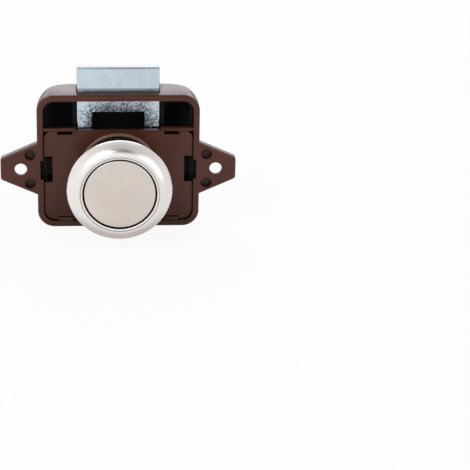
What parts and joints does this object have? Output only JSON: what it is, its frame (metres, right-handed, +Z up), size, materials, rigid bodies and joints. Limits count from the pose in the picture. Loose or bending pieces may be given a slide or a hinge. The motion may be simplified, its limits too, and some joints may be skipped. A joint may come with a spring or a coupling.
{
  "type": "push button cabinet lock",
  "caption": "Push-to-lock cabinet latch: moulded case with screw ears, sprung bevelled bolt, press-in knob in a round rosette for a door of furniture board.",
  "frame": {"origin": "on the knob's axis, in the plane of the case's front rim and ears, which lies on the inside of the door; it is the centre of the two screw holes", "axes": "+X along the ears, +Y back into the cabinet, so that the knob faces -Y, +Z up, the way the bolt leaves the case"},
  "size_m": [0.07, 0.0418, 0.0493],
  "materials": {
    "case_plastic": "moulded brown, semi-gloss",
    "inner_plastic": "moulded black, satin",
    "bolt_plating": "zinc plated, cool and slightly grainy",
    "satin_nickel": "satin nickel plating",
    "spring_steel": "drawn wire, oiled",
    "screw_steel": "zinc plated"
  },
  "bodies": {
    "lock_case": {"housing": "case_plastic", "guide_liner": "inner_plastic", "front_cover": "case_plastic", "cam_leaf_spring": "spring_steel", "plunger_spring": "spring_steel", "bolt_spring_left": "spring_steel", "bolt_spring_right": "spring_steel"},
    "push_knob": {"plunger": "inner_plastic", "knob": "satin_nickel", "knob_screw": "screw_steel"},
    "bolt": {"latch_bolt": "bolt_plating"},
    "cam_follower": {"cam_wire": "spring_steel"},
    "rosette": {"rosette_ring": "satin_nickel", "rosette_sleeve": "inner_plastic"}
  },
  "joints": [
    {"name": "knob_slide", "type": "slide", "parent": "lock_case", "child": "push_knob", "axis": [0, -1, 0], "range_m": [-0.0008, 0.0095], "deforming": ["plunger_spring"]},
    {"name": "bolt_slide", "type": "slide", "parent": "lock_case", "child": "bolt", "axis": [0, 0, -1], "range_m": [-0.00064, 0.0076], "deforming": ["bolt_spring_left", "bolt_spring_right"]},
    {"name": "cam_swing", "type": "hinge", "parent": "lock_case", "child": "cam_follower", "pos_m": [0, 0.017, 0.00755], "axis": [0, 0, 1], "range_deg": [-0.7, 7.4]},
    {"name": "rosette_feed", "type": "slide", "parent": "lock_case", "child": "rosette", "axis": [0, 1, 0], "range_m": [-0.0012, 0.0014]}
  ],
  "couplings": [
    {"joint": "bolt_slide", "follows": "knob_slide", "ratio": 0.8},
    {"joint": "cam_swing", "follows": "knob_slide", "rad_per_m": 13.349}
  ]
}
